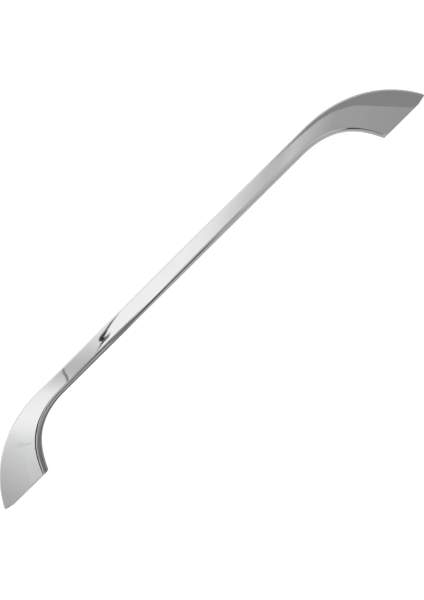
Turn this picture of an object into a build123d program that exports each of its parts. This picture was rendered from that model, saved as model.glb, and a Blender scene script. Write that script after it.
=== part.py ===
# A cabinet bow handle: a straight grip between two fin-shaped feet, with a threaded insert in each foot.
# The frame: X runs along the grip, -Y points out from the door or drawer front, Z runs across the grip.
# The origin is on the mounting plane, midway between the two screw holes.
from build123d import *
import os

os.makedirs("parts", exist_ok=True)

# The screw holes and the whole handle, millimetres
hole_spacing = 256.0
projection = 30.5
tip_reach = 142.6
heel_reach = 114.2
toe_length = 5.3
toe_lift = 1.1

# The grip and the feet, across and deep
grip_depth = 9.0
half_width = 5.0
tip_half_width = 2.4
taper_start = 112.0

# The fin's front curve: where it leaves the grip, and how far it keeps each end's direction
fin_start = 90.4
fin_start_pull = 26.2
fin_tip_run = 8.5
fin_tip_rise = 16.1

# The throat curve, on the side of the fingers, in the same way
throat_end = 80.9
throat_end_pull = 22.8
throat_heel_run = 4.3
throat_heel_rise = 9.0

# Edges
tip_radius = 0.8
back_edge_radius = 2.5
polished_edge_radius = 0.6
sole_edge_radius = 0.3

# Coring of the soles, on each side of the screw boss
rim_wall = 1.6
core_depth = 4.0
core_tip_reach = 135.0
core_tip_half_width = 1.8
core_heel_chamfer = 1.4
core_corner_radius = 0.5
boss_radius = 4.8

# The threaded inserts, M4, pressed in flush with the soles
insert_radius = 3.0
insert_length = 10.0
insert_edge_chamfer = 0.3
groove_radius = 2.7
groove_length = 1.4
thread_bore_radius = 1.65
thread_lead_in = 0.4
relief_radius = 2.1
relief_depth = 14.0

# Values that follow from these
hole_reach = hole_spacing / 2
finger_clearance = projection - grip_depth
core_heel_reach = heel_reach + rim_wall
core_heel_half_width = half_width - rim_wall
past_solid = 5.0
touching = 0.02
least_side_height = tip_half_width / 2
least_front_gap = 4.0

# Control points of the two curves of the right-hand half, seen across the grip
fin_points = [
    (fin_start, -projection),
    (fin_start + fin_start_pull, -projection),
    (tip_reach - fin_tip_run, -toe_lift - fin_tip_rise),
    (tip_reach, -toe_lift),
]
throat_points = [
    (heel_reach, 0),
    (heel_reach - throat_heel_run, -throat_heel_rise),
    (throat_end + throat_end_pull, -finger_clearance),
    (throat_end, -finger_clearance),
]

# The outline that the fingers feel, from one heel to the other
with BuildLine() as inner_outline:
    inner_throat = Bezier(*throat_points)
    Line(inner_throat @ 1, (0, -finger_clearance))
    mirror(about=Plane.YZ)


def gap_to_inner_outline(edge):
    middle = edge @ 0.5
    return inner_outline.line.distance_to(Vertex(middle.X, middle.Y, 0))


def lies_on_sole(edge):
    return max(abs(point.Y) for point in (edge @ 0, edge @ 0.5, edge @ 1)) < touching


def runs_along_a_side(edge):
    return abs((edge @ 0.5).Z) > least_side_height and not lies_on_sole(edge)


def is_back_edge(edge):
    return runs_along_a_side(edge) and gap_to_inner_outline(edge) < touching


def is_front_edge(edge):
    return runs_along_a_side(edge) and gap_to_inner_outline(edge) > least_front_gap


with BuildPart() as handle_body:
    # Side outline: a straight grip whose fins deepen towards flat soles, each a little lifted at its toe
    with BuildSketch(Plane.XY.offset(-half_width - past_solid)) as side_outline:
        with BuildLine():
            front = Line((0, -projection), fin_points[0])
            fin = Bezier(*fin_points)
            toe = Line(fin @ 1, (tip_reach - toe_length, 0))
            sole = Line(toe @ 1, throat_points[0])
            throat = Bezier(*throat_points)
            back = Line(throat @ 1, (0, -finger_clearance))
            mirror(about=Plane.YZ)
        make_face()
        outline_corners = side_outline.vertices().group_by(Axis.X)
        fillet(outline_corners[0] + outline_corners[-1], tip_radius)
    extrude(amount=2 * (half_width + past_solid))

    # Front outline: one width along the grip, and fins that thin towards their tips
    with BuildSketch(Plane.XZ.offset(-past_solid)):
        with BuildLine():
            side = Line((0, half_width), (taper_start, half_width))
            taper = TangentArc(side @ 1, (tip_reach, tip_half_width), tangent=(1, 0))
            Line(taper @ 1, (tip_reach, 0))
            mirror(about=Plane.YZ)
            mirror(about=Plane.XZ)
        make_face()
    extrude(amount=projection + 2 * past_solid, mode=Mode.INTERSECT)

    # The back edges are well rounded for the fingers, the front edges are only buffed,
    # and the soles keep a finer edge
    fillet(handle_body.edges().filter_by(is_back_edge), back_edge_radius)
    fillet(handle_body.edges().filter_by(is_front_edge), polished_edge_radius)
    fillet(handle_body.edges().filter_by(lies_on_sole), sole_edge_radius)

    # Each sole is cored out on both sides of its screw boss, to a rim of even thickness
    with BuildSketch(Plane.XZ) as cores:
        with BuildLine():
            heel_wall = Line((core_heel_reach, 0), (core_heel_reach, core_heel_half_width))
            side_wall = TangentArc(heel_wall @ 1, (core_tip_reach, core_tip_half_width), tangent=(1, 0))
            Line(side_wall @ 1, (core_tip_reach, 0))
            mirror(about=Plane.XZ)
        make_face()
        chamfer(cores.vertices().group_by(Axis.X)[0], core_heel_chamfer)
        with Locations((hole_reach, 0)):
            Circle(boss_radius, mode=Mode.SUBTRACT)
        fillet(cores.vertices(), core_corner_radius)
        mirror(about=Plane.YZ)
    extrude(amount=core_depth, mode=Mode.SUBTRACT)

    # The pocket of each insert, and a narrower relief for the end of a long screw
    with Locations(*[Plane((x, 0, 0), z_dir=(0, 1, 0)) for x in (-hole_reach, hole_reach)]):
        CounterBoreHole(relief_radius, insert_radius, insert_length, depth=relief_depth)

handle_body.part.label = "handle_body"
export_step(handle_body.part, "parts/handle_body.step")


# A turned steel insert for each foot: two gripping bands with a groove between them,
# and a bore at the thread's inner diameter with a lead-in at each end
def make_threaded_insert(name, reach):
    with BuildPart() as threaded_insert:
        with BuildSketch(Plane((reach, 0, 0), z_dir=(0, -1, 0))):
            Circle(insert_radius)
        extrude(amount=insert_length)
        chamfer(threaded_insert.edges().filter_by(GeomType.CIRCLE), insert_edge_chamfer)

        groove_start = (insert_length - groove_length) / 2
        with BuildSketch(Plane((reach, -groove_start, 0), z_dir=(0, -1, 0))):
            Circle(insert_radius)
            Circle(groove_radius, mode=Mode.SUBTRACT)
        extrude(amount=groove_length, mode=Mode.SUBTRACT)

        with Locations(Plane((reach, 0, 0), z_dir=(0, 1, 0))):
            Hole(thread_bore_radius)
        bore_mouths = threaded_insert.edges().filter_by(GeomType.CIRCLE).group_by(SortBy.RADIUS)[0]
        chamfer(bore_mouths, thread_lead_in)
    threaded_insert.part.label = name
    export_step(threaded_insert.part, f"parts/{name}.step")


make_threaded_insert("threaded_insert_left", -hole_reach)
make_threaded_insert("threaded_insert_right", hole_reach)
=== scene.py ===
import bpy
import bmesh
import math
from mathutils import Matrix, Vector


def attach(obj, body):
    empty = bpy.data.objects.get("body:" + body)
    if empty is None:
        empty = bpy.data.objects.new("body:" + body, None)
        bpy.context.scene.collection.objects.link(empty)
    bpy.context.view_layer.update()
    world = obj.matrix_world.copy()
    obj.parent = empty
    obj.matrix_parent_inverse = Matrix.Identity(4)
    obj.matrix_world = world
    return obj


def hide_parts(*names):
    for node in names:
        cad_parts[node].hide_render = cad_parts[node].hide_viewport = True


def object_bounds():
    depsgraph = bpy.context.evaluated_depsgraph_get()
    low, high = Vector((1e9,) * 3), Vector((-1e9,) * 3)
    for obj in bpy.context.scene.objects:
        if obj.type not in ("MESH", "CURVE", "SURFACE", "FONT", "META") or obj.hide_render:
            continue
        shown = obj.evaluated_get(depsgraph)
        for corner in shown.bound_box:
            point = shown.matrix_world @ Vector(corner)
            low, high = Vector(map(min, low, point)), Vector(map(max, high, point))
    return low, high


# A mirror-chromed bow handle for a cabinet door, lying on its side on a pale studio floor.
# X runs along the grip, -Y is the side that faces the hand, Z runs across the grip.
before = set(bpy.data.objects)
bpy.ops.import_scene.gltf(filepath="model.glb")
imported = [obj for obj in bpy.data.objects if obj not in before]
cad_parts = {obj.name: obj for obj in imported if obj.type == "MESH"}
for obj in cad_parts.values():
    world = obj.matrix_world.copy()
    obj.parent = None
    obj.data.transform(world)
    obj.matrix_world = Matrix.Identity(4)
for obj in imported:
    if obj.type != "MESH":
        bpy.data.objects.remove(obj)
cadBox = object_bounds()
cadLow, cadHigh = cadBox
middle = (cadLow + cadHigh) / 2
print("frame loaded:", sorted(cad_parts))


def addNode(tree, kind, settings=None, inputs=None):
    node = tree.nodes.new(kind)
    for name, value in (settings or {}).items():
        setattr(node, name, value)
    for name, value in (inputs or {}).items():
        node.inputs[name].default_value = value
    return node


def link(tree, source, target):
    tree.links.new(source, target)


def mathNode(tree, operation, first, second, clamp=False):
    node = addNode(tree, "ShaderNodeMath", {"operation": operation, "use_clamp": clamp})
    for socket, value in zip(node.inputs, (first, second)):
        if isinstance(value, (int, float)):
            socket.default_value = value
        else:
            link(tree, value, socket)
    return node.outputs[0]


def rampNode(tree, source, stops, interpolation="LINEAR"):
    # stops: (place from 0 to 1, grey level or colour)
    node = addNode(tree, "ShaderNodeValToRGB")
    node.color_ramp.interpolation = interpolation
    elements = node.color_ramp.elements
    while len(elements) > 1:
        elements.remove(elements[-1])
    for index, (place, tone) in enumerate(stops):
        element = elements[0] if index == 0 else elements.new(place)
        element.position = place
        element.color = (tone, tone, tone, 1) if isinstance(tone, (int, float)) else (*tone, 1)
    link(tree, source, node.inputs["Fac"])
    return node.outputs["Color"]


def newMaterial(name):
    material = bpy.data.materials.new(name)
    material.use_nodes = True
    tree = material.node_tree
    return material, tree, tree.nodes["Principled BSDF"]


def newGroup(name, inputs, outputs):
    # inputs: {name: value}, outputs: names of the values it puts out
    group = bpy.data.node_groups.new(name, "ShaderNodeTree")
    group.interface.new_socket("Vector", in_out="INPUT", socket_type="NodeSocketVector")
    for socketName, value in inputs.items():
        socket = group.interface.new_socket(socketName, in_out="INPUT", socket_type="NodeSocketFloat")
        socket.default_value = value
    for socketName in outputs:
        group.interface.new_socket(socketName, in_out="OUTPUT", socket_type="NodeSocketFloat")
    return group, group.nodes.new("NodeGroupInput"), group.nodes.new("NodeGroupOutput")


def placeGroup(tree, group, vector, values):
    node = addNode(tree, "ShaderNodeGroup", {"node_tree": group}, values)
    link(tree, vector, node.inputs["Vector"])
    return node


effects = {
    "fineShare": 0.06,
    "hairStretch": (0.06, 1, 1), "hairTurn": 0.09, "hairFloor": 0.56, "hairGain": 9.0,
    "patchFloor": 0.42, "patchGain": 3.2,
}


def makePolishRipple():
    # the slow waviness that a buffing wheel leaves, as a height
    group, inside, outside = newGroup("polishRipple", {"Scale": 30, "Fine Scale": 300}, ["Height"])
    slow = addNode(group, "ShaderNodeTexNoise", inputs={"Detail": 1.0, "Roughness": 0.4})
    fine = addNode(group, "ShaderNodeTexNoise", inputs={"Detail": 2.0, "Roughness": 0.5})
    link(group, inside.outputs["Vector"], slow.inputs["Vector"])
    link(group, inside.outputs["Vector"], fine.inputs["Vector"])
    link(group, inside.outputs["Scale"], slow.inputs["Scale"])
    link(group, inside.outputs["Fine Scale"], fine.inputs["Scale"])
    fineShare = mathNode(group, "MULTIPLY", fine.outputs["Fac"], effects["fineShare"])
    link(group, mathNode(group, "ADD", slow.outputs["Fac"], fineShare), outside.inputs["Height"])
    return group


def makeHairlines():
    # fine wiping scratches, long in X and thin across it, as a mask
    group, inside, outside = newGroup("hairlines", {"Density": 900, "Amount": 0.5}, ["Mask"])
    stretch = addNode(group, "ShaderNodeMapping",
                      inputs={"Scale": effects["hairStretch"], "Rotation": (0, 0, effects["hairTurn"])})
    noise = addNode(group, "ShaderNodeTexNoise", inputs={"Detail": 3.0, "Roughness": 0.65})
    link(group, inside.outputs["Vector"], stretch.inputs["Vector"])
    link(group, stretch.outputs["Vector"], noise.inputs["Vector"])
    link(group, inside.outputs["Density"], noise.inputs["Scale"])
    sharp = mathNode(group, "SUBTRACT", noise.outputs["Fac"], effects["hairFloor"])
    thin = mathNode(group, "MULTIPLY", sharp, effects["hairGain"], clamp=True)
    link(group, mathNode(group, "MULTIPLY", thin, inside.outputs["Amount"]), outside.inputs["Mask"])
    return group


def makeHandling():
    # soft patches left by hands and cloths, as a mask
    group, inside, outside = newGroup("handling", {"Scale": 45, "Amount": 1.0}, ["Mask"])
    noise = addNode(group, "ShaderNodeTexNoise", inputs={"Detail": 4.0, "Roughness": 0.6, "Distortion": 0.4})
    link(group, inside.outputs["Vector"], noise.inputs["Vector"])
    link(group, inside.outputs["Scale"], noise.inputs["Scale"])
    lifted = mathNode(group, "SUBTRACT", noise.outputs["Fac"], effects["patchFloor"])
    patches = mathNode(group, "MULTIPLY", lifted, effects["patchGain"], clamp=True)
    link(group, mathNode(group, "MULTIPLY", patches, inside.outputs["Amount"]), outside.inputs["Mask"])
    return group


polishRipple = makePolishRipple()
hairlines = makeHairlines()
handling = makeHandling()


chromeFinish = {
    "plate": (0.80, 0.805, 0.81), "worn": (0.70, 0.70, 0.71),
    "rippleScale": 26, "rippleFineScale": 420, "rippleDepth": 0.000012, "rippleStrength": 0.5,
    "hairDensity": 1500, "hairAmount": 0.5,
    "patchScale": 60, "patchAmount": 0.8, "wornShare": 0.35,
    "roughness": 0.012, "patchRoughness": 0.022, "hairRoughness": 0.03,
}


def makeChromePlate(finish):
    material, tree, shader = newMaterial("chromePlate")
    place = addNode(tree, "ShaderNodeTexCoord").outputs["Object"]
    ripple = placeGroup(tree, polishRipple, place,
                        {"Scale": finish["rippleScale"], "Fine Scale": finish["rippleFineScale"]})
    hairs = placeGroup(tree, hairlines, place,
                       {"Density": finish["hairDensity"], "Amount": finish["hairAmount"]})
    patches = placeGroup(tree, handling, place,
                         {"Scale": finish["patchScale"], "Amount": finish["patchAmount"]})
    fromPatches = mathNode(tree, "MULTIPLY", patches.outputs["Mask"], finish["patchRoughness"])
    fromHairs = mathNode(tree, "MULTIPLY", hairs.outputs["Mask"], finish["hairRoughness"])
    base = mathNode(tree, "ADD", fromPatches, finish["roughness"])
    link(tree, mathNode(tree, "ADD", base, fromHairs), shader.inputs["Roughness"])

    tint = addNode(tree, "ShaderNodeMix", {"data_type": "RGBA"})
    tint.inputs["A"].default_value = (*finish["plate"], 1)
    tint.inputs["B"].default_value = (*finish["worn"], 1)
    wear = mathNode(tree, "MULTIPLY", patches.outputs["Mask"], finish["wornShare"])
    link(tree, wear, tint.inputs["Factor"])
    link(tree, tint.outputs["Result"], shader.inputs["Base Color"])
    shader.inputs["Metallic"].default_value = 1

    bump = addNode(tree, "ShaderNodeBump",
                   inputs={"Strength": finish["rippleStrength"], "Distance": finish["rippleDepth"]})
    link(tree, ripple.outputs["Height"], bump.inputs["Height"])
    link(tree, bump.outputs["Normal"], shader.inputs["Normal"])
    return material


steelFinish = {
    "steel": (0.52, 0.52, 0.50), "passivated": (0.60, 0.57, 0.46),
    "turnPitch": 9000, "turnDepth": 0.00001, "turnStrength": 0.6, "turnWobble": 0.6,
    "hairDensity": 2500, "hairAmount": 0.7,
    "patchScale": 260, "patchAmount": 1.0,
    "roughness": 0.28, "patchRoughness": 0.12, "hairRoughness": 0.1,
}


def makeInsertSteel(finish):
    material, tree, shader = newMaterial("insertSteel")
    place = addNode(tree, "ShaderNodeTexCoord").outputs["Object"]
    patches = placeGroup(tree, handling, place,
                         {"Scale": finish["patchScale"], "Amount": finish["patchAmount"]})
    hairs = placeGroup(tree, hairlines, place,
                       {"Density": finish["hairDensity"], "Amount": finish["hairAmount"]})
    tint = addNode(tree, "ShaderNodeMix", {"data_type": "RGBA"})
    tint.inputs["A"].default_value = (*finish["steel"], 1)
    tint.inputs["B"].default_value = (*finish["passivated"], 1)
    link(tree, patches.outputs["Mask"], tint.inputs["Factor"])
    link(tree, tint.outputs["Result"], shader.inputs["Base Color"])
    shader.inputs["Metallic"].default_value = 1

    fromPatches = mathNode(tree, "MULTIPLY", patches.outputs["Mask"], finish["patchRoughness"])
    fromHairs = mathNode(tree, "MULTIPLY", hairs.outputs["Mask"], finish["hairRoughness"])
    base = mathNode(tree, "ADD", fromPatches, finish["roughness"])
    link(tree, mathNode(tree, "ADD", base, fromHairs), shader.inputs["Roughness"])

    turning = addNode(tree, "ShaderNodeTexWave", {"bands_direction": "Y"},
                      {"Scale": finish["turnPitch"], "Distortion": finish["turnWobble"], "Detail": 1.0})
    link(tree, place, turning.inputs["Vector"])
    bump = addNode(tree, "ShaderNodeBump",
                   inputs={"Strength": finish["turnStrength"], "Distance": finish["turnDepth"]})
    link(tree, turning.outputs["Fac"], bump.inputs["Height"])
    link(tree, bump.outputs["Normal"], shader.inputs["Normal"])
    return material


chromePlate = makeChromePlate(chromeFinish)
insertSteel = makeInsertSteel(steelFinish)
print("materials made")


def deselectAll():
    if bpy.context.object and bpy.context.object.mode == "EDIT":
        bpy.ops.object.mode_set(mode="OBJECT")
    bpy.ops.object.select_all(action="DESELECT")


def beginPiece(add, name, **values):
    # adds a primitive under a new name and opens it in edit mode with nothing selected
    deselectAll()
    add(**values)
    piece = bpy.context.object
    piece.name = piece.data.name = name
    bpy.ops.object.transform_apply(location=True, rotation=True, scale=True)
    bpy.ops.object.mode_set(mode="EDIT")
    bpy.ops.mesh.select_all(action="DESELECT")
    return piece


def pick(piece, kind, wanted):
    # selects only the verts, edges or faces of the open mesh that wanted() says yes to
    bpy.ops.mesh.select_all(action="DESELECT")
    bpy.context.tool_settings.mesh_select_mode = (kind == "verts", kind == "edges", kind == "faces")
    mesh = bmesh.from_edit_mesh(piece.data)
    found = [element for element in getattr(mesh, kind) if wanted(element)]
    for element in found:
        element.select_set(True)
    mesh.select_flush_mode()
    bmesh.update_edit_mesh(piece.data, loop_triangles=False, destructive=False)
    return len(found)


def applyModifier(piece, kind, **values):
    deselectAll()
    bpy.context.view_layer.objects.active = piece
    piece.select_set(True)
    modifier = piece.modifiers.new(kind.title(), kind)
    for name, value in values.items():
        setattr(modifier, name, value)
    bpy.ops.object.modifier_apply(modifier=modifier.name)


def cutAway(piece, cutter, operation="DIFFERENCE"):
    applyModifier(piece, "BOOLEAN", object=cutter, operation=operation, solver="EXACT")
    bpy.data.objects.remove(cutter)


def finishPiece(piece, material, smoothAngle):
    deselectAll()
    bpy.context.view_layer.objects.active = piece
    piece.select_set(True)
    bpy.ops.object.transform_apply(location=True, rotation=True, scale=True)
    bpy.ops.object.shade_smooth_by_angle(angle=math.radians(smoothAngle))
    piece.data.materials.clear()
    piece.data.materials.append(material)


bodyShape = {
    "gripDepth": 0.009, "tipReach": 0.1426, "heelReach": 0.1142, "toeLength": 0.0053, "toeLift": 0.0011,
    "taperStart": 0.112, "tipHalfWidth": 0.0024,
    "finStart": 0.0904, "finPull": 0.0262, "finTipRun": 0.0085, "finTipRise": 0.0161,
    "throatEnd": 0.0809, "throatPull": 0.0228, "throatHeelRun": 0.0043, "throatHeelRise": 0.0090,
    "rows": 6, "rowsShare": 0.64, "toeRow": 2, "gripSteps": 12, "footSteps": 44,
    "backRound": 0.0025, "tipRound": 0.00106, "frontRound": 0.0006, "soleRound": 0.0003,
    "backSteps": 8, "tipSteps": 4, "frontSteps": 4, "soleSteps": 2, "sideMargin": 0.00005,
}
halfWidth = cadHigh.z
projection = -cadLow.y


def taperRadius(shape):
    run, drop = shape["tipReach"] - shape["taperStart"], halfWidth - shape["tipHalfWidth"]
    return (run * run + drop * drop) / (2 * drop)


def halfWidthAt(x, shape):
    # the fins thin towards their tips along an arc
    run = max(abs(x) - shape["taperStart"], 0)
    radius = taperRadius(shape)
    return halfWidth - radius + math.sqrt(radius * radius - run * run)


def bezier(points, t):
    level = [Vector(p) for p in points]
    while len(level) > 1:
        level = [a.lerp(b, t) for a, b in zip(level, level[1:])]
    return level[0]


def bodyStations(shape):
    # the front and back points of each section, from mid-grip to the sole
    finger = projection - shape["gripDepth"]
    fin = [(shape["finStart"], -projection), (shape["finStart"] + shape["finPull"], -projection),
           (shape["tipReach"] - shape["finTipRun"], -shape["toeLift"] - shape["finTipRise"]),
           (shape["tipReach"], -shape["toeLift"])]
    throat = [(shape["throatEnd"], -finger), (shape["throatEnd"] + shape["throatPull"], -finger),
              (shape["heelReach"] - shape["throatHeelRun"], -shape["throatHeelRise"]),
              (shape["heelReach"], 0)]
    fronts = [Vector((shape["finStart"] * i / shape["gripSteps"], -projection))
              for i in range(shape["gripSteps"])]
    backs = [Vector((shape["throatEnd"] * i / shape["gripSteps"], -finger))
             for i in range(shape["gripSteps"])]
    for i in range(shape["footSteps"] + 1):
        fronts.append(bezier(fin, i / shape["footSteps"]))
        backs.append(bezier(throat, i / shape["footSteps"]))
    return fronts, backs


def onLine(point, stations, reach=2e-5):
    return min((point.xy - station).length for station in stations) < reach


def roundBodyEdges(body, shape, fronts, backs):
    toe = Vector((shape["tipReach"] - shape["toeLength"], 0))
    toeRise = (fronts[-1] - toe).normalized()

    def onSole(face):
        # the flat part at y = 0 and the toe's lifted part
        return all(v.co.y > -1e-6 or abs(toeRise.cross(v.co.xy - toe)) < 1e-6 for v in face.verts)

    def faceTurn(edge):
        # how much the two faces beside an edge look across the handle
        return sorted(abs(face.normal.z) for face in edge.link_faces)

    def isBack(edge):
        return edge.verts[0].co.z * edge.verts[1].co.z > 0 and all(onLine(v.co, backs) for v in edge.verts)

    def isTip(edge):
        across = edge.verts[0].co.z * edge.verts[1].co.z < 0
        return across and all(onLine(v.co, [fronts[-1]]) for v in edge.verts)

    def isFront(edge):
        if len(edge.link_faces) < 2 or any(onSole(face) for face in edge.link_faces):
            return False
        low, high = faceTurn(edge)
        return low < 0.5 and high > 0.9

    def isSoleRim(edge):
        return len(edge.link_faces) == 2 and sum(onSole(face) for face in edge.link_faces) == 1

    for wanted, size, steps in ((isBack, "backRound", "backSteps"), (isTip, "tipRound", "tipSteps"),
                                (isFront, "frontRound", "frontSteps"), (isSoleRim, "soleRound", "soleSteps")):
        pick(body, "edges", wanted)
        bpy.ops.mesh.bevel(offset=shape[size], segments=shape[steps], clamp_overlap=False)
    # a thin margin round each side keeps the shading of its flat part flat up to the rounded edges
    pick(body, "faces", lambda f: all(abs(abs(v.co.z) - halfWidthAt(v.co.x, shape)) < 1e-5 for v in f.verts))
    bpy.ops.mesh.inset(thickness=shape["sideMargin"], use_boundary=False)


def makeHandleBody(shape):
    fronts, backs = bodyStations(shape)
    # one column of faces, from the middle of the grip to the first station; the back row is left wide
    # enough for its rounding
    rowsDepth, reach = shape["rowsShare"] * shape["gripDepth"], fronts[1].x
    body = beginPiece(bpy.ops.mesh.primitive_grid_add, "handleBody", x_subdivisions=1,
                      y_subdivisions=shape["rows"], size=rowsDepth,
                      location=(reach, fronts[0].y + rowsDepth / 2, -halfWidth))
    pick(body, "verts", lambda v: v.co.x < reach)
    bpy.ops.transform.translate(value=(rowsDepth / 2 - reach, 0, 0))
    pick(body, "verts", lambda v: v.co.x > reach)
    bpy.ops.transform.translate(value=(-rowsDepth / 2, 0, 0))
    pick(body, "verts", lambda v: v.co.y > fronts[0].y + rowsDepth - 1e-6)
    bpy.ops.mesh.extrude_region_move(TRANSFORM_OT_translate={"value": (0, shape["gripDepth"] - rowsDepth, 0)})
    pick(body, "verts", lambda v: v.co.x > reach / 2)
    section = backs[0] - fronts[0]
    # each station: extrude the end of the sheet, turn it about its front point, stretch it to the back
    for i in range(1, len(fronts)):
        if i > 1:
            step = fronts[i] - fronts[i - 1]
            bpy.ops.mesh.extrude_region_move(TRANSFORM_OT_translate={"value": (step.x, step.y, 0)})
        target = backs[i] - fronts[i]
        centre = (*fronts[i], -halfWidth)
        # angle_signed counts clockwise, as transform.rotate does here
        turn = section.angle_signed(target)
        bpy.ops.transform.rotate(value=turn, orient_axis="Z", center_override=centre)
        stretch = target.length / section.length
        bpy.ops.transform.resize(value=(stretch, stretch, 1), center_override=centre)
        section = target
    # the sole lies flat up to its toe, which is a little lifted
    toe = Vector((shape["tipReach"] - shape["toeLength"], 0))
    shares = [shape["rowsShare"] * row / shape["rows"] for row in range(shape["rows"] + 1)]
    toeShare = shares[shape["toeRow"]]
    for share in shares[1:]:
        start = fronts[-1].lerp(backs[-1], share)
        if share <= toeShare:
            goal = fronts[-1].lerp(toe, share / toeShare)
        else:
            goal = toe.lerp(backs[-1], (share - toeShare) / (1 - toeShare))
        pick(body, "verts", lambda v: onLine(v.co, [start]))
        bpy.ops.transform.translate(value=(goal.x - start.x, goal.y - start.y, 0))
    # the sheet becomes a bar as wide as the handle, open at mid-grip
    bpy.ops.mesh.select_all(action="SELECT")
    bpy.ops.mesh.extrude_region_move(TRANSFORM_OT_translate={"value": (0, 0, 2 * halfWidth)})
    bpy.ops.mesh.select_all(action="SELECT")
    bpy.ops.mesh.normals_make_consistent(inside=False)
    pick(body, "faces", lambda f: all(v.co.x < 1e-5 for v in f.verts))
    bpy.ops.mesh.delete(type="FACE")
    # thin the fin towards its tip, one place along it at a time
    places = sorted({round(v.co.x, 6) for v in bmesh.from_edit_mesh(body.data).verts})
    for place in places:
        if place > shape["taperStart"]:
            pick(body, "verts", lambda v: abs(v.co.x - place) < 1e-6)
            factor = halfWidthAt(place, shape) / halfWidth
            bpy.ops.transform.resize(value=(1, 1, factor), center_override=(0, 0, 0))
    roundBodyEdges(body, shape, fronts, backs)
    bpy.ops.object.mode_set(mode="OBJECT")
    print("body rounded:", len(body.data.polygons), "faces")
    return body


footCuts = {
    "holeReach": 0.128, "pocketRadius": 0.003, "pocketDepth": 0.010,
    "reliefRadius": 0.0021, "reliefDepth": 0.014, "pointInset": 0.4, "pointDepth": 0.04, "coreCuts": 7,
    "rimWall": 0.0016, "coreDepth": 0.004, "coreTip": 0.135, "coreTipHalfWidth": 0.0018,
    "heelChamfer": 0.0014, "cornerRound": 0.0005, "bossRadius": 0.0048, "above": 0.002, "ring": 48,
}


def makeDrill(name, radius, depth, cuts):
    # a turned cutter, a little pointed at its end as a drill is
    drill = beginPiece(bpy.ops.mesh.primitive_cylinder_add, name, vertices=cuts["ring"], radius=radius,
                       depth=depth + cuts["above"], rotation=(math.pi / 2, 0, 0),
                       location=(cuts["holeReach"], (cuts["above"] - depth) / 2, 0))
    pick(drill, "faces", lambda f: f.calc_center_median().y < -depth + 1e-5)
    bpy.ops.mesh.inset(thickness=radius * cuts["pointInset"])
    bpy.ops.transform.translate(value=(0, radius * cuts["pointDepth"], 0))
    bpy.ops.object.mode_set(mode="OBJECT")
    return drill


def makeCoreCutter(cuts):
    # the hollow of a sole: it narrows with the fin and leaves the screw boss standing
    heel = bodyShape["heelReach"] + cuts["rimWall"]
    half = halfWidth - cuts["rimWall"]
    core = beginPiece(bpy.ops.mesh.primitive_cube_add, "coreCutter", size=1,
                      location=((heel + cuts["coreTip"]) / 2, (cuts["above"] - cuts["coreDepth"]) / 2, 0),
                      scale=(cuts["coreTip"] - heel, cuts["coreDepth"] + cuts["above"], 2 * half))
    pick(core, "edges", lambda e: abs(e.verts[0].co.x - e.verts[1].co.x) > 0.001)
    bpy.ops.mesh.subdivide(number_cuts=cuts["coreCuts"])
    run, drop = cuts["coreTip"] - heel, half - cuts["coreTipHalfWidth"]
    radius = (run * run + drop * drop) / (2 * drop)
    for place in sorted({round(v.co.x, 6) for v in bmesh.from_edit_mesh(core.data).verts}):
        across = half - radius + math.sqrt(radius * radius - (place - heel) ** 2)
        pick(core, "verts", lambda v: abs(v.co.x - place) < 1e-6)
        bpy.ops.transform.resize(value=(1, 1, across / half), center_override=(0, 0, 0))
    for end, size, steps in ((heel, cuts["heelChamfer"], 1), (cuts["coreTip"], cuts["cornerRound"], 3)):
        pick(core, "edges", lambda e: abs(e.verts[0].co.y - e.verts[1].co.y) > 0.001
             and abs(e.verts[0].co.x - end) < 1e-5)
        bpy.ops.mesh.bevel(offset=size, segments=steps)
    bpy.ops.object.mode_set(mode="OBJECT")
    boss = makeDrill("bossBlank", cuts["bossRadius"], cuts["coreDepth"] + cuts["above"], cuts)
    cutAway(core, boss)
    return core


def finishHandleBody(body, cuts):
    cutAway(body, makeCoreCutter(cuts))
    cutAway(body, makeDrill("pocketDrill", cuts["pocketRadius"], cuts["pocketDepth"], cuts))
    cutAway(body, makeDrill("reliefDrill", cuts["reliefRadius"], cuts["reliefDepth"], cuts))
    applyModifier(body, "MIRROR", use_axis=(True, False, False), use_clip=True, merge_threshold=1e-6)
    deselectAll()
    bpy.context.view_layer.objects.active = body
    body.select_set(True)
    bpy.ops.object.mode_set(mode="EDIT")
    bpy.ops.mesh.select_all(action="SELECT")
    bpy.ops.mesh.remove_doubles(threshold=1e-6)
    bpy.ops.mesh.dissolve_degenerate(threshold=1e-6)
    bpy.ops.mesh.normals_make_consistent(inside=False)
    bpy.ops.object.mode_set(mode="OBJECT")
    return body


insertShape = {
    "reach": 0.128, "radius": 0.003, "length": 0.010, "edgeChamfer": 0.0003,
    "grooveRadius": 0.0027, "grooveLength": 0.0014, "knurlDepth": 0.00012, "knurlLead": 0.0002, "teeth": 40,
    "threadOuter": 0.0020, "threadInner": 0.00166, "mouthRadius": 0.00225, "mouthDepth": 0.00025,
    "pitch": 0.0007, "ridgeFoot": 0.0006, "ridgeCrest": 0.0001, "turns": 13, "turnSteps": 28,
}


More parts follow.
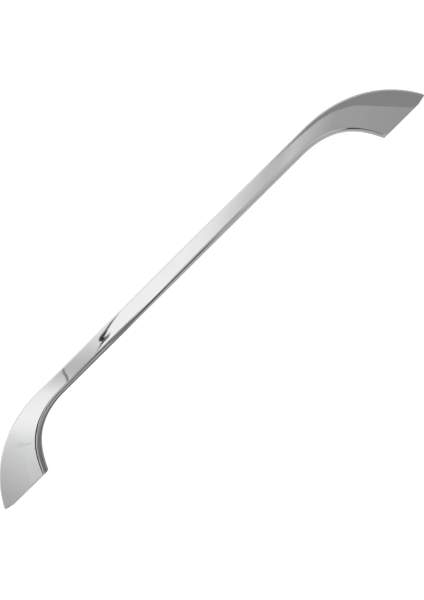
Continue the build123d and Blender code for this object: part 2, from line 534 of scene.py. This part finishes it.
def makeInsertShell(name, shape):
    # ring by ring, from the bore's wall over the sole's face and the knurled bands and back inside
    sides = 2 * shape["teeth"]
    shell = beginPiece(bpy.ops.mesh.primitive_circle_add, name, vertices=sides, radius=shape["threadOuter"],
                       rotation=(math.pi / 2, 0, 0), location=(0, -shape["mouthDepth"], 0))
    bpy.ops.mesh.select_all(action="SELECT")
    at = {"y": -shape["mouthDepth"], "radius": shape["threadOuter"]}

    def ring(y, radius):
        bpy.ops.mesh.extrude_region_move(TRANSFORM_OT_translate={"value": (0, y - at["y"], 0)})
        factor = radius / at["radius"]
        bpy.ops.transform.resize(value=(factor, 1, factor), center_override=(0, y, 0))
        at.update(y=y, radius=radius)

    def band(start, end):
        # a straight knurl: every other point of its rings stands a little lower
        valleys = 1 - shape["knurlDepth"] / shape["radius"]
        ring(start, shape["radius"])
        for y in (start - shape["knurlLead"], end + shape["knurlLead"]):
            ring(y, shape["radius"])
            pick(shell, "verts", lambda v: abs(v.co.y - y) < 1e-6
                 and round(math.atan2(v.co.z, v.co.x) * sides / math.tau) % 2 == 1)
            bpy.ops.transform.resize(value=(valleys, 1, valleys), center_override=(0, y, 0))
            pick(shell, "verts", lambda v: abs(v.co.y - y) < 1e-6)
        # the next ring starts from a full circle again
        pick(shell, "verts", lambda v: abs(v.co.y - y) < 1e-6)
        bpy.ops.mesh.extrude_region_move(TRANSFORM_OT_translate={"value": (0, end - y, 0)})
        pick(shell, "verts", lambda v: abs(v.co.y - end) < 1e-6
             and round(math.atan2(v.co.z, v.co.x) * sides / math.tau) % 2 == 1)
        bpy.ops.transform.resize(value=(1 / valleys, 1, 1 / valleys), center_override=(0, end, 0))
        pick(shell, "verts", lambda v: abs(v.co.y - end) < 1e-6)
        at.update(y=end, radius=shape["radius"])

    grooveStart = -(shape["length"] - shape["grooveLength"]) / 2
    grooveEnd = grooveStart - shape["grooveLength"]
    ring(0, shape["mouthRadius"])
    ring(0, shape["radius"] - shape["edgeChamfer"])
    band(-shape["edgeChamfer"], grooveStart)
    ring(grooveStart - 1e-5, shape["grooveRadius"])
    ring(grooveEnd + 1e-5, shape["grooveRadius"])
    band(grooveEnd, -shape["length"] + shape["edgeChamfer"])
    ring(-shape["length"], shape["radius"] - shape["edgeChamfer"])
    ring(-shape["length"], shape["mouthRadius"])
    ring(-shape["length"] + shape["mouthDepth"], shape["threadOuter"])
    # close the bore between its two ends
    pick(shell, "edges", lambda e: e.is_boundary)
    bpy.ops.mesh.bridge_edge_loops()
    bpy.ops.mesh.select_all(action="SELECT")
    bpy.ops.mesh.normals_make_consistent(inside=False)
    bpy.ops.object.mode_set(mode="OBJECT")
    return shell


def makeThreadRidge(name, shape):
    # a right-hand ridge that climbs the bore, its foot sunk a little into the wall
    sunk = 0.00002
    depth = shape["threadOuter"] + sunk - shape["threadInner"]
    start = -shape["mouthDepth"] - shape["ridgeFoot"] / 2
    ridge = beginPiece(bpy.ops.mesh.primitive_plane_add, name, size=depth,
                       location=(shape["threadInner"] + depth / 2, start, 0))
    bpy.ops.mesh.select_all(action="SELECT")
    bpy.ops.mesh.delete(type="ONLY_FACE")
    for atFoot, width in ((True, shape["ridgeFoot"]), (False, shape["ridgeCrest"])):
        pick(ridge, "verts", lambda v: (v.co.x > shape["threadInner"] + depth / 2) == atFoot)
        bpy.ops.transform.resize(value=(1, width / depth, 1), center_override=(0, start, 0))
    bpy.ops.object.mode_set(mode="OBJECT")
    applyModifier(ridge, "SCREW", axis="Y", angle=-math.tau, screw_offset=-shape["pitch"],
                  iterations=shape["turns"], steps=shape["turnSteps"], render_steps=shape["turnSteps"],
                  use_merge_vertices=False)
    bpy.ops.object.mode_set(mode="EDIT")
    pick(ridge, "edges", lambda e: e.is_boundary)
    bpy.ops.mesh.edge_face_add()
    bpy.ops.mesh.select_all(action="SELECT")
    bpy.ops.mesh.normals_make_consistent(inside=False)
    bpy.ops.object.mode_set(mode="OBJECT")
    return ridge


def makeThreadedInsert(name, side, shape):
    insert = makeInsertShell(name, shape)
    ridge = makeThreadRidge(name + "Ridge", shape)
    deselectAll()
    ridge.select_set(True)
    insert.select_set(True)
    bpy.context.view_layer.objects.active = insert
    bpy.ops.object.join()
    insert.location.x = side * shape["reach"]
    return insert


# the finished pieces, each in place of its CAD node
shading = {"bodyAngle": 30, "insertAngle": 35, "normalWeight": 80}
handleBody = makeHandleBody(bodyShape)
finishHandleBody(handleBody, footCuts)
finishPiece(handleBody, chromePlate, shading["bodyAngle"])
applyModifier(handleBody, "WEIGHTED_NORMAL", keep_sharp=True, weight=shading["normalWeight"])
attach(handleBody, "root")
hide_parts("handle_body")
print("handle body made:", len(handleBody.data.polygons), "faces")

for name, node, side in (("threadedInsertLeft", "threaded_insert_left", -1),
                         ("threadedInsertRight", "threaded_insert_right", 1)):
    insert = makeThreadedInsert(name, side, insertShape)
    finishPiece(insert, insertSteel, shading["insertAngle"])
    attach(insert, "root")
    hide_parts(node)
    print(name, "made:", len(insert.data.polygons), "faces")


shot = {"yaw": 6.0, "pitch": 1.0, "roll": 224.69, "distance": 1.5, "lens": 187.3, "sensor": 36.0,
        "aimShift": (-0.00104, 0.01239, 0.0)}


def makeCamera(values):
    yaw, pitch, roll = (math.radians(values[name]) for name in ("yaw", "pitch", "roll"))
    toCamera = Vector((-math.sin(yaw) * math.cos(pitch), -math.sin(pitch), math.cos(yaw) * math.cos(pitch)))
    xAcross = Vector((1, 0, 0))
    xAcross = (xAcross - toCamera * xAcross.dot(toCamera)).normalized()
    yAcross = toCamera.cross(xAcross)
    right = math.cos(roll) * xAcross - math.sin(roll) * yAcross
    up = math.sin(roll) * xAcross + math.cos(roll) * yAcross
    data = bpy.data.cameras.new("shotCamera")
    data.lens, data.sensor_width, data.clip_end = values["lens"], values["sensor"], 50
    camera = bpy.data.objects.new("shotCamera", data)
    bpy.context.scene.collection.objects.link(camera)
    camera.location = middle + Vector(values["aimShift"]) + toCamera * values["distance"]
    camera.rotation_euler = Matrix((right, up, toCamera)).transposed().to_euler()
    bpy.context.scene.camera = camera
    return camera


shotCamera = makeCamera(shot)
print("camera placed")


# the studio: a pale floor, a graded card over the handle, and flags that give the chrome its contrast
studio = {
    "floorSize": 6.0, "floorDrop": 0.00005, "floorGlow": 0.80,
    "cardHeight": 0.25, "cardHalf": 0.12, "cardLeft": -0.32, "cardRight": 0.36, "flagDrop": 0.002,
    # brightness of the card where the flat side mirrors it: (place along the handle, level)
    "cardLevels": [(-0.142, 0.37), (-0.109, 0.42), (-0.090, 0.56), (-0.078, 0.67), (-0.070, 0.60),
                   (-0.061, 0.60), (-0.041, 0.76), (-0.022, 0.98), (0.000, 1.06), (0.032, 1.08),
                   (0.042, 1.00), (0.050, 0.86), (0.058, 0.70), (0.066, 0.59), (0.072, 0.60),
                   (0.079, 0.80), (0.086, 1.02), (0.098, 1.08), (0.107, 1.06), (0.114, 0.88), (0.121, 0.74),
                   (0.132, 0.60), (0.141, 0.50)],
    "slantFrom": -0.03, "slantTo": 0.1, "slantLeft": -2.0, "slantRight": 0.9,
    "paperScale": 900, "paperTones": (0.50, 0.54), "paperRoughness": 0.9,
}
cardZ = cadHigh.z + studio["cardHeight"]


def mirroredAt(x, y, z=cardZ):
    # the point at height z that the camera sees mirrored at x, y on the handle's upper side
    tilt = math.asin(max(abs(x) - bodyShape["taperStart"], 0) / taperRadius(bodyShape))
    normal = Vector((math.copysign(math.sin(tilt), x), 0, math.cos(tilt)))
    place = Vector((x, y, halfWidthAt(x, bodyShape)))
    ray = (place - shotCamera.location).normalized().reflect(normal)
    return place + ray * ((z - place.z) / ray.z)


def makeFloor():
    deselectAll()
    bpy.ops.mesh.primitive_plane_add(size=studio["floorSize"],
                                     location=(0, 0, cadLow.z - studio["floorDrop"]))
    floor = bpy.context.object
    floor.name = "studioFloor"
    material, tree, shader = newMaterial("paleFloor")
    place = addNode(tree, "ShaderNodeTexCoord").outputs["Object"]
    paper = addNode(tree, "ShaderNodeTexNoise", inputs={"Scale": studio["paperScale"], "Detail": 2.0})
    link(tree, place, paper.inputs["Vector"])
    darker, lighter = studio["paperTones"]
    tones = rampNode(tree, paper.outputs["Fac"], [(0.3, darker), (0.7, lighter)])
    link(tree, tones, shader.inputs["Base Color"])
    shader.inputs["Roughness"].default_value = studio["paperRoughness"]
    shader.inputs["Emission Color"].default_value = (1, 1, 1, 1)
    rays = addNode(tree, "ShaderNodeLightPath")
    glow = mathNode(tree, "MULTIPLY", rays.outputs["Is Camera Ray"], studio["floorGlow"])
    link(tree, glow, shader.inputs["Emission Strength"])
    floor.data.materials.append(material)


def emissive(name, level=1.0):
    material = bpy.data.materials.new(name)
    material.use_nodes = True
    tree = material.node_tree
    tree.nodes.clear()
    light = addNode(tree, "ShaderNodeEmission", inputs={"Color": (level, level, level, 1)})
    link(tree, light.outputs["Emission"], addNode(tree, "ShaderNodeOutputMaterial").inputs["Surface"])
    return material, tree, light


def makeCard(name, corners, material):
    # a flat card over the handle that only the chrome sees
    mesh = bpy.data.meshes.new(name)
    mesh.from_pydata(corners, [], [list(range(len(corners)))])
    mesh.materials.append(material)
    card = bpy.data.objects.new(name, mesh)
    bpy.context.scene.collection.objects.link(card)
    for ray in ("visible_camera", "visible_diffuse", "visible_shadow"):
        setattr(card, ray, False)


def makeGradedCard():
    left, right, half = studio["cardLeft"], studio["cardRight"], studio["cardHalf"]
    material, tree, light = emissive("gradedCardLight")
    split = addNode(tree, "ShaderNodeSeparateXYZ")
    link(tree, addNode(tree, "ShaderNodeTexCoord").outputs["Object"], split.inputs["Vector"])
    gripY = mirroredAt(0, (2 * cadLow.y + bodyShape["gripDepth"]) / 2).y
    slant = addNode(tree, "ShaderNodeMapRange", inputs={
                    "From Min": studio["slantFrom"], "From Max": studio["slantTo"],
                    "To Min": studio["slantLeft"], "To Max": studio["slantRight"]})
    link(tree, split.outputs["X"], slant.inputs["Value"])
    aside = mathNode(tree, "SUBTRACT", split.outputs["Y"], gripY)
    slanted = mathNode(tree, "MULTIPLY", aside, slant.outputs["Result"])
    along = addNode(tree, "ShaderNodeMapRange", inputs={"From Min": left, "From Max": right})
    link(tree, mathNode(tree, "ADD", split.outputs["X"], slanted), along.inputs["Value"])
    stops = [((mirroredAt(x, gripY).x - left) / (right - left), level) for x, level in studio["cardLevels"]]
    link(tree, rampNode(tree, along.outputs["Result"], stops), light.inputs["Color"])
    corners = [(left, -half, cardZ), (right, -half, cardZ), (right, half, cardZ), (left, half, cardZ)]
    makeCard("gradedCard", corners, material)


flags = {
    # outlines on the handle's upper side where each flag is mirrored, and its level; gleamFlag, flickFlag,
    # rippleFlag and toeFlag follow numbers that were worked out outside this script
    "finFlag": (0.28, [(-0.0600, -0.0300), (-0.0780, -0.0294), (-0.0900, -0.0287), (-0.0985, -0.0279),
                       (-0.1055, -0.0262), (-0.1115, -0.0235), (-0.1162, -0.0203), (-0.1199, -0.0163),
                       (-0.1336, -0.0013), (-0.1420, 0.0080), (-0.1420, -0.0800), (-0.1100, -0.0800),
                       (-0.0600, -0.0400)]),
    "gleamFlag": (1.08, [(0.0370, -0.0293), (0.0412, -0.0287), (0.0460, -0.0272), (0.0480, -0.0266),
                         (0.0496, -0.0252), (0.0526, -0.0245), (0.0575, -0.0239), (0.0600, -0.0234),
                         (0.0560, -0.0190), (0.0300, -0.0190), (0.0300, -0.0285)]),
    "flickFlag": (0.03, [(0.0335, -0.0299), (0.0398, -0.0297), (0.0425, -0.0294), (0.0452, -0.0289),
                         (0.0486, -0.0284), (0.0505, -0.0279), (0.0513, -0.0270), (0.0503, -0.0260),
                         (0.0526, -0.0252), (0.0575, -0.0239), (0.0526, -0.0247), (0.0496, -0.0251),
                         (0.0466, -0.0252), (0.0440, -0.0262), (0.0468, -0.0263), (0.0485, -0.0267),
                         (0.0460, -0.0273), (0.0438, -0.0282), (0.0412, -0.0288), (0.0385, -0.0293)]),
    "crescentFlag": (0.30, [(0.0722, -0.0300), (0.0735, -0.0278), (0.0738, -0.0255), (0.0752, -0.0236),
                            (0.0766, -0.0236), (0.0752, -0.0260), (0.0747, -0.0285), (0.0734, -0.0300)]),
    "rippleFlag": (0.76, [(0.1185, -0.0213), (0.1168, -0.0200), (0.1150, -0.0196), (0.1131, -0.0192),
                          (0.1122, -0.0170), (0.1094, -0.0152), (0.1112, -0.0145), (0.1128, -0.0158),
                          (0.1140, -0.0157), (0.1150, -0.0172), (0.1165, -0.0180), (0.1180, -0.0200)]),
    "toeFlag": (0.02, [(0.1372, 0.0300), (0.1376, -0.0004), (0.1390, -0.0016), (0.1412, -0.0022),
                       (0.1430, -0.0022), (0.1430, 0.0300)]),
    "heelFlag": (0.02, [(0.0978, -0.0167), (0.1035, -0.0130), (0.1072, -0.0092), (0.1091, -0.0064),
                        (0.1108, -0.0035), (0.1120, -0.0010), (0.0200, 0.0400), (0.0500, 0.0700)]),
}


sideCards = {
    # cards that only the rounded back edge mirrors: level, height, corners
    "rimReflector": (0.80, cardZ - 0.004, [(-0.125, 0.050), (-0.02, 0.075), (-0.02, 0.118), (-0.125, 0.118)]),
    "leftRimFlag": (0.05, cardZ - 0.004, [(0.045, 0.12), (0.10, 0.12), (0.26, 0.32), (0.14, 0.36)]),
    "leftHeelFlag": (0.10, cadHigh.z + 0.012, [(-0.1007, -0.0111), (-0.1040, -0.0077), (-0.1074, -0.0024),
                                              (-0.1094, 0.0017), (-0.1044, 0.0040), (-0.1025, 0.0002),
                                              (-0.0997, -0.0043), (-0.0971, -0.0070)]),
    "gripFlag": (0.05, cadHigh.z + 0.03, [(-0.025, 0.012), (-0.012, -0.002), (0.018, -0.002), (0.038, 0.012),
                                          (0.058, 0.030), (0.060, 0.100), (0.038, 0.100), (0.016, 0.030),
                                          (-0.008, 0.030)]),
    "throatFlag": (0.15, cadLow.z + 0.0005, [(0.040, -0.019), (0.090, -0.019), (0.104, -0.013),
                                             (0.113, 0.000), (0.120, 0.090), (-0.040, 0.090),
                                             (0.030, 0.020)]),
}


def makeFlags():
    for layer, (name, (level, outline)) in enumerate(flags.items(), 1):
        height = cardZ - layer * studio["flagDrop"]
        corners = [mirroredAt(x, y, height) for x, y in outline]
        makeCard(name, corners, emissive(name + "Light", level)[0])
    for name, (level, height, outline) in sideCards.items():
        makeCard(name, [(x, y, height) for x, y in outline], emissive(name + "Light", level)[0])


dome = {
    # (elevation in degrees, level) of what the chrome mirrors round about
    "levels": [(-90, 0.50), (5, 0.46), (60, 0.50), (66, 0.55), (90, 0.80)],
    "plainLevel": 0.55, "shadeFrom": 0.2, "shadeTo": -0.7, "shadeLevel": 0.45,
    "frontFrom": -0.1, "frontTo": -0.35, "frontLevel": 1.0,
}


def makeWorld():
    world = bpy.data.worlds.new("studioDome")
    bpy.context.scene.world = world
    world.use_nodes = True
    tree = world.node_tree
    tree.nodes.clear()
    split = addNode(tree, "ShaderNodeSeparateXYZ")
    link(tree, addNode(tree, "ShaderNodeTexCoord").outputs["Generated"], split.inputs["Vector"])
    height = addNode(tree, "ShaderNodeMapRange", inputs={"From Min": -1.0, "From Max": 1.0})
    link(tree, split.outputs["Z"], height.inputs["Value"])
    stops = [((math.sin(math.radians(angle)) + 1) / 2, level) for angle, level in dome["levels"]]
    # the left of the studio is darker, which sets the right foot's throat off
    shade = addNode(tree, "ShaderNodeMapRange", inputs={
                    "From Min": dome["shadeFrom"], "From Max": dome["shadeTo"], "To Min": 1.0,
                    "To Max": dome["shadeLevel"]})
    link(tree, split.outputs["X"], shade.inputs["Value"])
    # a bright wall before the handle keeps its outer edge light
    front = addNode(tree, "ShaderNodeMapRange",
                    inputs={"From Min": dome["frontFrom"], "From Max": dome["frontTo"]})
    link(tree, split.outputs["Y"], front.inputs["Value"])
    level = addNode(tree, "ShaderNodeMix", {"data_type": "RGBA"})
    level.inputs["B"].default_value = (*[dome["frontLevel"]] * 3, 1)
    link(tree, front.outputs["Result"], level.inputs["Factor"])
    link(tree, rampNode(tree, height.outputs["Result"], stops), level.inputs["A"])
    mirrored = addNode(tree, "ShaderNodeBackground")
    link(tree, level.outputs["Result"], mirrored.inputs["Color"])
    link(tree, shade.outputs["Result"], mirrored.inputs["Strength"])
    plain = addNode(tree, "ShaderNodeBackground",
                    inputs={"Color": (1, 1, 1, 1), "Strength": dome["plainLevel"]})
    white = addNode(tree, "ShaderNodeBackground", inputs={"Color": (1, 1, 1, 1), "Strength": 1.0})
    rays = addNode(tree, "ShaderNodeLightPath")
    shown = plain
    for ray, background in (("Is Glossy Ray", mirrored), ("Is Camera Ray", white)):
        mix = addNode(tree, "ShaderNodeMixShader")
        link(tree, rays.outputs[ray], mix.inputs["Fac"])
        link(tree, shown.outputs[0], mix.inputs[1])
        link(tree, background.outputs["Background"], mix.inputs[2])
        shown = mix
    link(tree, shown.outputs[0], addNode(tree, "ShaderNodeOutputWorld").inputs["Surface"])


lamps = {"keyLamp": {"place": (0.5, -0.7, 1.1), "size": 0.9, "power": 9},
         "fillLamp": {"place": (-0.7, 0.6, 0.9), "size": 1.2, "power": 5}}


def makeLamps():
    for name, values in lamps.items():
        data = bpy.data.lights.new(name, "AREA")
        data.shape, data.size, data.energy = "DISK", values["size"], values["power"]
        lamp = bpy.data.objects.new(name, data)
        bpy.context.scene.collection.objects.link(lamp)
        lamp.location = values["place"]
        lamp.rotation_euler = (middle - lamp.location).to_track_quat("-Z", "Y").to_euler()
        lamp.visible_glossy = False      # the cards are what the chrome mirrors


makeFloor()
makeGradedCard()
makeFlags()
makeWorld()
makeLamps()
bpy.context.scene.view_settings.view_transform = "Standard"
print("studio ready")
